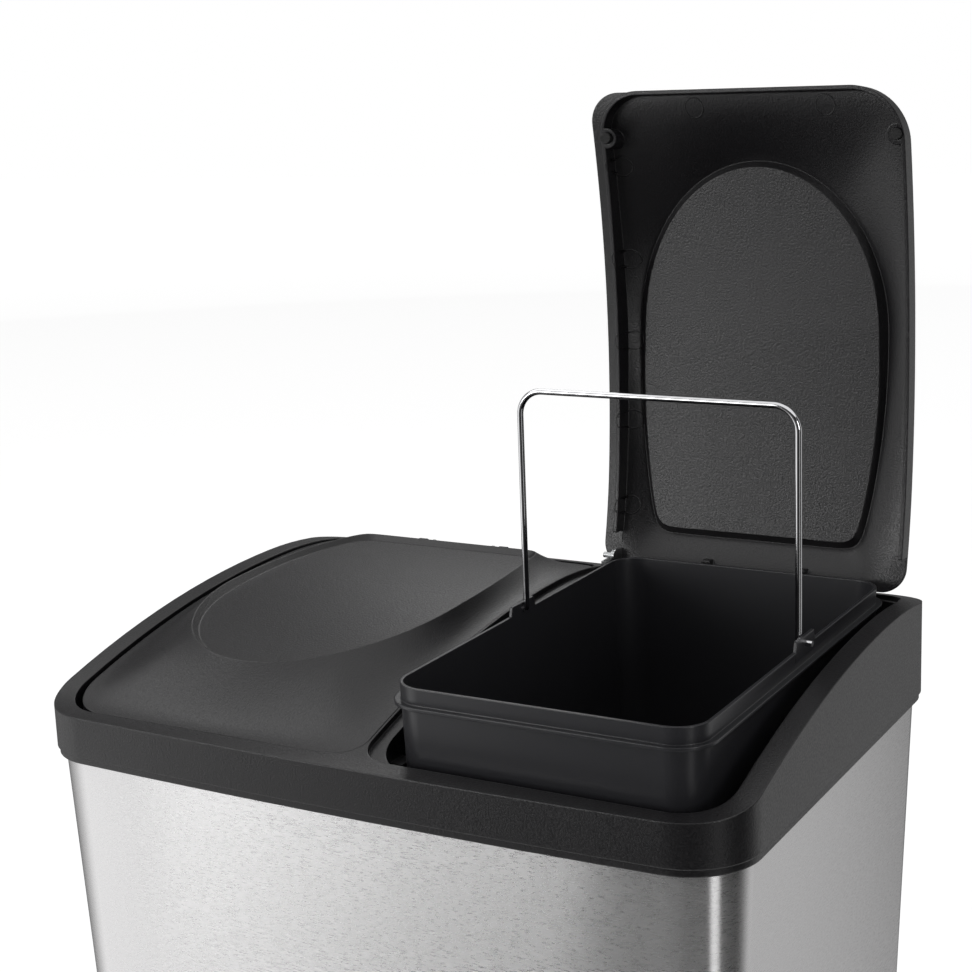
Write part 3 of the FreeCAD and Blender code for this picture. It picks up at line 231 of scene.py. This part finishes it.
# %% [markdown]
# The frame, lids and base are injection-moulded polypropylene, coloured through in charcoal. The
# mould is spark-eroded, which leaves a fine matt grain of rounded pits over half a millimetre
# across, so the plastic shows a soft sheen with tiny sparkles. The buckets come from a smoother
# mould, and the rubber of the feet and bumpers is duller: one recipe with other numbers. No
# moulded edge is razor sharp. A Bevel node shades each edge as if it had a radius of about a
# millimetre, and that thin round is what catches the light as a bright line. A bevel cut into the
# finished meshes could leave dark slivers where faces are narrow.

# %% Moulded plastics and rubber
FLOW_SCALE = 9.0                # faint patches some five centimetres across
GRAIN_STRENGTH = 0.6
BEVEL_SAMPLES = 8
PLASTIC_IOR = 1.49


def moulded_plastic(name, dark, light, grain, depth, roughness, edge):
    """Plastic with pits of this width and depth and edges of this radius, in metres."""
    material, tree, shader, place = new_material(name)
    pits = noise(tree, place, noise_scale(grain), detail=2.0, roughness=0.55)
    flow = noise(tree, place, FLOW_SCALE)
    rounded = add_node(tree, "ShaderNodeBevel", {"Radius": edge}, samples=BEVEL_SAMPLES)
    bump = add_node(tree, "ShaderNodeBump", {
        "Height": pits, "Strength": GRAIN_STRENGTH, "Distance": depth,
        "Normal": rounded.outputs["Normal"]})
    set_inputs(tree, shader, {
        "Base Color": tinted(tree, flow, dark, light),
        "Roughness": remapped(tree, pits, NOISE_RANGE, roughness),
        "Normal": bump.outputs["Normal"],
        "IOR": PLASTIC_IOR})
    return material


charcoal = moulded_plastic("grained_polypropylene", "151416", "1B1A1C", grain=0.60 * MM,
                           depth=0.30 * MM, roughness=(0.28, 0.46), edge=1.2 * MM)
black = moulded_plastic("satin_polypropylene", "28282B", "2E2E31", grain=0.60 * MM,
                        depth=0.03 * MM, roughness=(0.28, 0.36), edge=0.9 * MM)
rubber = moulded_plastic("black_rubber", "0E0E0E", "141414", grain=0.80 * MM,
                         depth=0.08 * MM, roughness=(0.62, 0.80), edge=0.5 * MM)
print("made", charcoal.name, black.name, rubber.name)

# %% [markdown]
# The bail is drawn steel wire with a bright nickel and chrome plating, and the hinge parts and
# levers are pressed steel with zinc plating, which is greyer and a little cloudy.

# %% Plated metals


def plated_metal(name, dark, light, roughness, cloud):
    """Plated steel with faint clouds of this size, in metres."""
    material, tree, shader, place = new_material(name)
    haze = noise(tree, place, noise_scale(cloud))
    set_inputs(tree, shader, {
        "Base Color": tinted(tree, haze, dark, light),
        "Roughness": remapped(tree, haze, NOISE_RANGE, roughness),
        "Metallic": 1.0})
    return material


chrome = plated_metal("bright_chrome_wire", "D2D2D4", "E2E2E4",
                      roughness=(0.05, 0.12), cloud=4 * MM)
zinc = plated_metal("zinc_plated_steel", "A3A5A6", "BBBCBC",
                    roughness=(0.28, 0.42), cloud=3 * MM)
print("made", chrome.name, zinc.name)

# %% [markdown]
# The record gives every node a material slot, so one short list dresses all the pieces, and a
# part that is added to a slot later gets the right finish by itself.

# %% Which piece gets which material
MATERIAL_OF_SLOT = {"brushed_stainless": steel, "charcoal_plastic": charcoal,
                    "black_plastic": black, "black_rubber": rubber,
                    "zinc_steel": zinc, "chromed_wire": chrome}
for node, piece in pieces.items():
    piece.data.materials.append(MATERIAL_OF_SLOT[slot_of[node]])
print("finished", len(pieces), "pieces")

# %% [markdown]
# Ejector pins push a lid out of its mould, and each one leaves a thin ring on the underside. The
# photograph shows seven on the open lid. Their places are given on the closed lid, as seen from
# above, and each point of a ring is thrown up onto the moulded surface by a ray, so the ring
# follows its curve. The right lid stands open, so its rays are turned about the hinge with it.
# A bump map could draw the rings too, but a mesh of their own is also there in the export.

# %% Rays onto the underside of a closed lid
RAY_START = 300.0 * MM          # above the floor, well below the closed lids


def lid_turn(name):
    """The turn from the closed lid, its hinge's low end, to the lid as it stands."""
    hinge = next(joint for joint in frame["joints"] if joint["name"] == name + "_hinge")
    to_hinge = Matrix.Translation(hinge["pos_m"])
    opened = math.radians(-hinge["range_deg"][0])
    return to_hinge @ Matrix.Rotation(opened, 4, Vector(hinge["axis"])) @ to_hinge.inverted()


def surface_over(tree, turn, x, y):
    """The point of the underside that is over (x, y) once the lid is closed, and its normal."""
    start = turn @ Vector((x, y, RAY_START))
    upwards = turn.to_3x3() @ Vector((0, 0, 1))
    return tree.ray_cast(start, upwards)[:2]


for name in ("left_lid", "right_lid"):
    print(name, "stands", round(math.degrees(lid_turn(name).to_quaternion().angle)), "degrees open")

# %% Ejector rings
RING_RADIUS = 6.3 * MM
RING_PROFILE = [(-0.7, -0.3), (-0.3, 0.3), (0.3, 0.3), (0.7, -0.3)]    # out and up, in mm
RING_PLACES = [(20, -113), (19, -51), (18.5, 5), (18.5, 60), (19, 120),
               (76, -150), (165, -150)]     # across from the bin's middle and back, in mm
RING_STEPS = 28


def ring_points(tree, turn, x, y):
    """Rows of points round one ring, one row for each corner of its profile."""
    rows = []
    for out, up in RING_PROFILE:
        reach = RING_RADIUS + out * MM
        row = []
        for step in range(RING_STEPS):
            angle = 2 * math.pi * step / RING_STEPS
            hit, normal = surface_over(tree, turn, x + reach * math.cos(angle),
                                       y + reach * math.sin(angle))
            row.append(hit + normal * up * MM)
        rows.append(row)
    return rows


def ejector_rings(name, side):
    """All rings of one lid as one mesh of closed hoops."""
    tree = BVHTree.FromObject(pieces[name], bpy.context.evaluated_depsgraph_get())
    turn = lid_turn(name)
    hoops = bmesh.new()
    for across, back in RING_PLACES:
        rows = [[hoops.verts.new(point) for point in row]
                for row in ring_points(tree, turn, side * across * MM, back * MM)]
        for near, far in zip(rows, rows[1:] + rows[:1]):
            for j in range(RING_STEPS):
                k = (j + 1) % RING_STEPS
                hoops.faces.new((near[j], near[k], far[k], far[j]))
    bmesh.ops.recalc_face_normals(hoops, faces=hoops.faces)
    mesh = bpy.data.meshes.new(name + "_rings")
    hoops.to_mesh(mesh)
    hoops.free()
    mesh.materials.append(charcoal)
    rings = new_object(name + "_rings", mesh)
    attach(rings, name + "_unit")
    return rings


for name, side in (("left_lid", -1), ("right_lid", 1)):
    rings = ejector_rings(name, side)
    print(rings.name, "faces:", len(rings.data.polygons))

# %% [markdown]
# Each pedal has a tread of low ribs, so that a wet shoe holds. The ribs repeat, so Geometry Nodes
# makes them: a line of points, one rib on each, made real, with its material. Their number and
# sizes are inputs of the node group, so one group serves both pedals.

# %% Tread ribs by Geometry Nodes


def rib_nodes():
    """A node group that lays a row of ribs along Y."""
    group = bpy.data.node_groups.new("tread_ribs", "GeometryNodeTree")
    sockets = group.interface
    sockets.new_socket("Geometry", in_out="INPUT", socket_type="NodeSocketGeometry")
    sockets.new_socket("Count", in_out="INPUT", socket_type="NodeSocketInt")
    for label in ("Pitch", "Length", "Width", "Height"):
        sockets.new_socket(label, in_out="INPUT", socket_type="NodeSocketFloat")
    sockets.new_socket("Material", in_out="INPUT", socket_type="NodeSocketMaterial")
    sockets.new_socket("Geometry", in_out="OUTPUT", socket_type="NodeSocketGeometry")
    given = group.nodes.new("NodeGroupInput").outputs
    result = group.nodes.new("NodeGroupOutput")
    step = add_node(group, "ShaderNodeCombineXYZ", {"Y": given["Pitch"]})
    places = add_node(group, "GeometryNodeMeshLine", {
        "Count": given["Count"], "Offset": step.outputs["Vector"]})
    size = add_node(group, "ShaderNodeCombineXYZ", {
        "X": given["Length"], "Y": given["Width"], "Z": given["Height"]})
    rib = add_node(group, "GeometryNodeMeshCube", {"Size": size.outputs["Vector"]})
    copies = add_node(group, "GeometryNodeInstanceOnPoints", {
        "Points": places.outputs["Mesh"], "Instance": rib.outputs["Mesh"]})
    solid = add_node(group, "GeometryNodeRealizeInstances", {
        "Geometry": copies.outputs["Instances"]})
    dressed = add_node(group, "GeometryNodeSetMaterial", {
        "Geometry": solid.outputs["Geometry"], "Material": given["Material"]})
    group.links.new(dressed.outputs["Geometry"], result.inputs["Geometry"])
    return group


rib_group = rib_nodes()
print("made the node group", rib_group.name)

# %% [markdown]
# The ribs are baked into a plain mesh, because the export works with plain meshes that each ride
# on one body. A ray from above finds the pedal's sloping top and its tilt, and the row is laid on
# it from there, sunk into the plastic by half its height.

# %% Ribs laid on both pedals
RIB_VALUES = {"Count": 4, "Pitch": 6.0 * MM, "Length": 54.0 * MM, "Width": 1.6 * MM,
              "Height": 0.9 * MM, "Material": charcoal}
FIRST_RIB = 7.0 * MM            # from the pedal's front edge to the first rib
RAY_HEIGHT = 100.0 * MM         # from the pedal's highest point to the ray's start


def baked_ribs(name):
    """The ribs as a plain mesh, made by the node group and then frozen."""
    holder = new_object(name, bpy.data.meshes.new(name + "_seed"))
    modifier = holder.modifiers.new("ribs", "NODES")
    modifier.node_group = rib_group
    for item in rib_group.interface.items_tree:
        if item.in_out == "INPUT" and item.name in RIB_VALUES:
            modifier[item.identifier] = RIB_VALUES[item.name]
    graph = bpy.context.evaluated_depsgraph_get()
    mesh = bpy.data.meshes.new_from_object(holder.evaluated_get(graph))
    holder.modifiers.remove(modifier)
    holder.data = mesh
    return holder


def tread(side_name):
    """Ribs laid on one pedal, from its front edge backwards."""
    pedal = side_name + "_pedal"
    low, high = [Vector(corner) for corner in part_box(pedal)]
    tree = BVHTree.FromObject(pieces[pedal], bpy.context.evaluated_depsgraph_get())
    middle = (low.x + high.x) / 2
    start = Vector((middle, low.y + FIRST_RIB, high.z + RAY_HEIGHT))
    point, slope = tree.ray_cast(start, Vector((0, 0, -1)))[:2]
    ribs = baked_ribs(side_name + "_pedal_ribs")
    lay = slope.rotation_difference(Vector((0, 0, 1))).inverted().to_matrix().to_4x4()
    ribs.data.transform(Matrix.Translation(point) @ lay)
    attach(ribs, pedal + "_unit")
    return ribs


for side_name in ("left", "right"):
    print(tread(side_name).name, "ribs:", RIB_VALUES["Count"])

# %% [markdown]
# The floor is a wide pale sheet. To the camera it is white, as in a cut-out product picture, but
# it keeps the soft shadow of the bin. That takes a mix: rays from the camera see mostly a white
# glow and partly the lit paper. Shiny surfaces look through it at the cloth that the next step
# hangs round the bin, so that the steel mirrors one even cloth from top to bottom.

# %% Floor
FLOOR_HALF = 12.0               # metres from the middle to an edge
PAPER_SHARE = 0.35
WHITE_GLOW = 1.36


def calculated(tree, operation, first, second):
    """The result of one Math node."""
    step = add_node(tree, "ShaderNodeMath", {0: first, 1: second}, operation=operation)
    return step.outputs["Value"]


def mixed(tree, share, first, second):
    """The first shader where share is 0, the second where it is 1, a mix between."""
    mix = add_node(tree, "ShaderNodeMixShader", {0: share, 1: first, 2: second})
    return mix.outputs["Shader"]


def floor_material():
    """White glow and lit paper to the camera, paper to lamps, nothing to mirrors."""
    material = bpy.data.materials.new("white_paper_floor")
    tree = empty_tree(material)
    rays = add_node(tree, "ShaderNodeLightPath").outputs
    paper = add_node(tree, "ShaderNodeBsdfDiffuse", {"Color": linear("E8E8E8")})
    glow = add_node(tree, "ShaderNodeEmission", {"Strength": WHITE_GLOW})
    clear = add_node(tree, "ShaderNodeBsdfTransparent")
    share = calculated(tree, "MULTIPLY", rays["Is Camera Ray"], 1 - PAPER_SHARE)
    seen = mixed(tree, share, paper.outputs["BSDF"], glow.outputs["Emission"])
    surface = mixed(tree, rays["Is Glossy Ray"], seen, clear.outputs["BSDF"])
    add_node(tree, "ShaderNodeOutputMaterial", {"Surface": surface})
    return material


def pale_floor():
    """A wide floor that looks white and keeps the object's shadow."""
    mesh = bpy.data.meshes.new("floor_sheet")
    corners = [(-1, -1), (1, -1), (1, 1), (-1, 1)]
    mesh.from_pydata([(x * FLOOR_HALF, y * FLOOR_HALF, 0.0) for x, y in corners], [],
                     [(0, 1, 2, 3)])
    mesh.materials.append(floor_material())
    floor = new_object("floor", mesh)
    return floor


print(pale_floor().name, "is", 2 * FLOOR_HALF, "m wide")

# %% [markdown]
# The light is a studio's. A cloth hangs in a ring round the bin, open at the top, and glows in
# grades over the compass: 0 degrees is straight in front of the bin, minus is left. The steel's
# front mirrors the cloth from about -47 to -20 degrees, so it runs from bright to dark. The narrow
# strip at 65 degrees draws the bright line down the rounded corner, and the steel's right side
# mirrors the end of the light patch, near 160. Upwards from the floor the glow fades. The camera
# looks through the cloth. A picture of a studio could stand in for it, but a ramp needs no file,
# and each grade of it can be tuned.

# %% Cloth
CLOTH_SCALE = 1.5               # a colour stays under 1, so the ramp holds level / scale
CLOTH = {-180: 0.24, -150: 0.14, -120: 0.14, -80: 0.85, -56: 1.45, -48: 1.32, -43: 0.87,
         -38: 0.58, -33: 0.46, -28: 0.12, -16: 0.12, 0: 0.09, 18: 0.02, 57: 0.02,
         59: 0.76, 71: 0.76, 73: 0.02, 108: 0.02, 124: 0.20, 138: 0.78, 154: 0.76,
         168: 0.20, 180: 0.24}
CLOTH_FADE = 0.4                # the share of the glow that is left at the upper edge
CLOTH_RADIUS = 6.0
CLOTH_BOTTOM = -6.0
CLOTH_TOP = 4.6
CLOTH_SEGMENTS = 96


def grade_ramp(tree, turn):
    """A colour ramp with one stop for each grade of the cloth."""
    ramp = add_node(tree, "ShaderNodeValToRGB", {"Fac": turn})
    stops = ramp.color_ramp.elements
    while len(stops) < len(CLOTH):
        stops.new(0.5)
    for stop, (degrees, level) in zip(stops, CLOTH.items()):
        stop.position = (degrees + 180) / 360
        stop.color = [level / CLOTH_SCALE] * 3 + [1.0]
    return ramp.outputs["Color"]


def cloth_material():
    """A glow that changes round the compass and fades towards the cloth's upper edge."""
    material = bpy.data.materials.new("graded_studio_cloth")
    tree = empty_tree(material)
    place = add_node(tree, "ShaderNodeTexCoord").outputs["Object"]
    parts = add_node(tree, "ShaderNodeSeparateXYZ", {"Vector": place}).outputs
    front = calculated(tree, "MULTIPLY", parts["Y"], -1.0)
    compass = calculated(tree, "ARCTAN2", parts["X"], front)
    turn = remapped(tree, compass, (-math.pi, math.pi), (0.0, 1.0))
    fade = remapped(tree, parts["Z"], (0.0, CLOTH_TOP),
                    (CLOTH_SCALE, CLOTH_FADE * CLOTH_SCALE))
    glow = add_node(tree, "ShaderNodeEmission", {
        "Color": grade_ramp(tree, turn), "Strength": fade})
    add_node(tree, "ShaderNodeOutputMaterial", {"Surface": glow.outputs["Emission"]})
    return material


def hang_cloth():
    """The ring of cloth, which the camera doesn't see."""
    ring = bmesh.new()
    bmesh.ops.create_cone(ring, cap_ends=False, segments=CLOTH_SEGMENTS, radius1=CLOTH_RADIUS,
                          radius2=CLOTH_RADIUS, depth=CLOTH_TOP - CLOTH_BOTTOM)
    bmesh.ops.translate(ring, verts=ring.verts, vec=(0, 0, (CLOTH_TOP + CLOTH_BOTTOM) / 2))
    mesh = bpy.data.meshes.new("cloth_ring")
    ring.to_mesh(mesh)
    ring.free()
    mesh.materials.append(cloth_material())
    cloth = new_object("cloth", mesh)
    cloth.visible_camera = False


hang_cloth()
print("cloth:", len(CLOTH), "grades")

# %% [markdown]
# Beyond the cloth everything is white. The camera sees that as the background, and metal mirrors
# it where it looks up over the cloth. As a light the sky is dimmer than it looks.

# %% World
SKY_LIGHT = 0.55
WHITE = linear("FFFFFF")


def studio_world():
    """White to camera, glossy and transmitted rays, and a soft grey sky as a light."""
    world = bpy.data.worlds.new("studio_room")
    bpy.context.scene.world = world
    tree = empty_tree(world)
    rays = add_node(tree, "ShaderNodeLightPath").outputs
    mirrored = calculated(tree, "MAXIMUM", rays["Is Camera Ray"], rays["Is Glossy Ray"])
    seen = calculated(tree, "MAXIMUM", mirrored, rays["Is Transmission Ray"])
    sky = add_node(tree, "ShaderNodeBackground", {"Color": WHITE, "Strength": SKY_LIGHT})
    white = add_node(tree, "ShaderNodeBackground", {"Color": WHITE, "Strength": 1.0})
    surface = mixed(tree, seen, sky.outputs["Background"], white.outputs["Background"])
    add_node(tree, "ShaderNodeOutputWorld", {"Surface": surface})
    return world


print("made", studio_world().name)

# %% [markdown]
# Four soft boxes light the plastic. Three hang where it mirrors them to the camera: the closed
# lid's top mirrors the one behind the bin, the flare in front of that top the one high at the
# left, and the open lid's inner face the one at the front left. The one at the right lights the
# sides that face right.

# %% Lamps
MIDDLE = (0.0, 0.0, 0.40)       # all four face this point in the bin
SOFT_BOXES = {                  # name: place, width and height in metres, then watts
    "high_box": ((-1.2, -0.1, 2.0), 1.2, 1.2, 4.0),
    "left_box": ((-1.2, -2.2, 0.85), 1.2, 0.9, 18.0),
    "back_box": ((-1.0, 2.2, 1.75), 1.0, 0.5, 4.5),
    "right_box": ((2.2, -1.1, 1.0), 0.6, 0.9, 8.0)}


def soft_box(name, place, width, height, watts):
    """A rectangular area lamp that faces the middle of the bin."""
    lamp = bpy.data.lights.new(name, "AREA")
    lamp.shape = "RECTANGLE"
    lamp.size = width
    lamp.size_y = height
    lamp.energy = watts
    holder = new_object(name, lamp)
    away = Vector(place) - Vector(MIDDLE)
    turn = away.to_track_quat("Z", "Y").to_matrix().to_4x4()
    holder.matrix_world = Matrix.Translation(place) @ turn
    return holder


for name, settings in SOFT_BOXES.items():
    print(soft_box(name, *settings).name, "gives", settings[-1], "W")

# %% [markdown]
# The camera stands where the photographer's did. Its place, turn and lens come from fitting the
# frame's edges to the photograph. Right, up and ahead are the camera's own axes, and a slight
# roll turns the first two.

# %% Camera
CAMERA_PLACE = Vector((0.57305, -0.99482, 0.84362))     # metres
CAMERA_YAW = 0.52223            # radians to the left
CAMERA_PITCH = 0.21866          # radians down
CAMERA_ROLL = -0.03761          # radians about the line of sight
FOCAL_PIXELS = 1885.9           # the focal length in pixels of the photograph
PHOTO_PIXELS = 972              # the photograph's width
SENSOR = 36.0                   # millimetres


def photo_camera():
    """The camera of the photograph."""
    flat = math.cos(CAMERA_PITCH)
    ahead = Vector((-math.sin(CAMERA_YAW) * flat, math.cos(CAMERA_YAW) * flat,
                    -math.sin(CAMERA_PITCH)))
    level = Vector((math.cos(CAMERA_YAW), math.sin(CAMERA_YAW), 0.0))
    upright = level.cross(ahead)
    right = level * math.cos(CAMERA_ROLL) + upright * math.sin(CAMERA_ROLL)
    up = upright * math.cos(CAMERA_ROLL) - level * math.sin(CAMERA_ROLL)
    turn = Matrix((right, up, -ahead)).transposed().to_4x4()
    data = bpy.data.cameras.new("photo_camera")
    data.sensor_width = SENSOR
    data.lens = FOCAL_PIXELS / PHOTO_PIXELS * SENSOR
    camera = new_object("photo_camera", data)
    camera.matrix_world = Matrix.Translation(CAMERA_PLACE) @ turn
    bpy.context.scene.camera = camera
    return camera


camera = photo_camera()
bpy.context.scene.view_settings.view_transform = "Standard"
print("lens:", round(camera.data.lens, 2), "mm")
